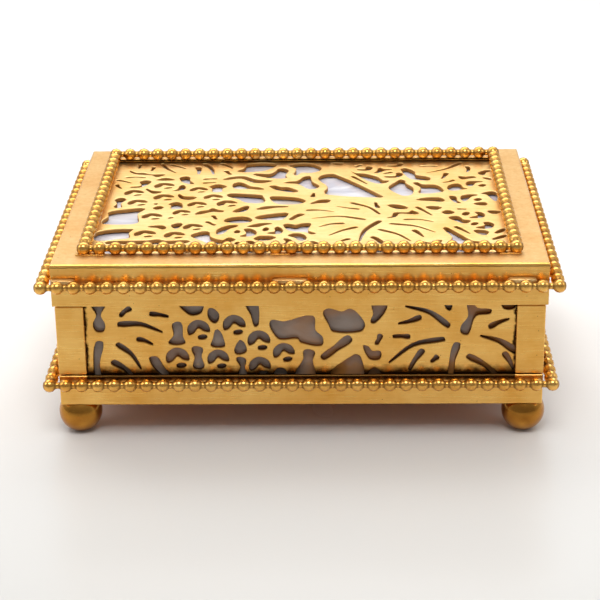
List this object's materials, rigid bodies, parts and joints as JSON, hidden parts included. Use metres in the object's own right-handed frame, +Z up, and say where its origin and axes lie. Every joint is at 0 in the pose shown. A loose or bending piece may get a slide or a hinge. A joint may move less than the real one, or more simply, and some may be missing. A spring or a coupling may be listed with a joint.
{
  "type": "vanity trinket box",
  "caption": "Small hinged vanity box of gilt pierced metal over opalescent glass, with beaded edges, a shallow cap lid and ball feet.",
  "frame": {"origin": "on the table, under the middle of the box", "axes": "+X to the right seen from the front, +Y to the back, +Z up; the front looks towards -Y"},
  "size_m": [0.1202, 0.09, 0.0468],
  "materials": {
    "gilt_bronze": "satin gilt bronze, finely brushed",
    "gilt_pierced_bronze": "satin gilt bronze sheet, pierced, with dark patina in the cuts",
    "gilt_beading": "polished gilt beaded wire",
    "inner_brass": "plain brass, dull",
    "side_slag_glass": "opalescent slag glass, smoky with amber streaks",
    "lid_slag_glass": "opalescent slag glass, milky white and pale blue"
  },
  "bodies": {
    "body": {"base_tray": "gilt_bronze", "floor_pan": "inner_brass", "body_rim": "inner_brass", "front_left_foot": "gilt_bronze", "front_right_foot": "gilt_bronze", "back_left_foot": "gilt_bronze", "back_right_foot": "gilt_bronze", "front_left_foot_screw": "inner_brass", "front_right_foot_screw": "inner_brass", "back_left_foot_screw": "inner_brass", "back_right_foot_screw": "inner_brass", "front_left_post": "gilt_bronze", "front_right_post": "gilt_bronze", "back_left_post": "gilt_bronze", "back_right_post": "gilt_bronze", "front_grille": "gilt_pierced_bronze", "right_grille": "gilt_pierced_bronze", "back_grille": "gilt_pierced_bronze", "left_grille": "gilt_pierced_bronze", "front_glass": "side_slag_glass", "right_glass": "side_slag_glass", "back_glass": "side_slag_glass", "left_glass": "side_slag_glass", "base_front_beading": "gilt_beading", "base_right_beading": "gilt_beading", "base_back_beading": "gilt_beading", "base_left_beading": "gilt_beading", "left_hinge_body_leaf": "gilt_bronze", "right_hinge_body_leaf": "gilt_bronze", "left_hinge_pin": "inner_brass", "right_hinge_pin": "inner_brass"},
    "lid": {"lid_frame": "gilt_bronze", "lid_grille": "gilt_pierced_bronze", "lid_glass": "lid_slag_glass", "lid_glass_tab_1": "inner_brass", "lid_glass_tab_2": "inner_brass", "lid_glass_tab_3": "inner_brass", "lid_glass_tab_4": "inner_brass", "lid_glass_tab_5": "inner_brass", "lid_glass_tab_6": "inner_brass", "lid_front_beading": "gilt_beading", "lid_right_beading": "gilt_beading", "lid_back_beading": "gilt_beading", "lid_left_beading": "gilt_beading", "window_front_beading": "gilt_beading", "window_right_beading": "gilt_beading", "window_back_beading": "gilt_beading", "window_left_beading": "gilt_beading", "left_hinge_lid_leaf": "gilt_bronze", "right_hinge_lid_leaf": "gilt_bronze"}
  },
  "joints": [
    {"name": "lid_hinge", "type": "hinge", "parent": "body", "child": "lid", "pos_m": [0, 0.043, 0.033], "axis": [-1, 0, 0], "range_deg": [0, 105]}
  ]
}
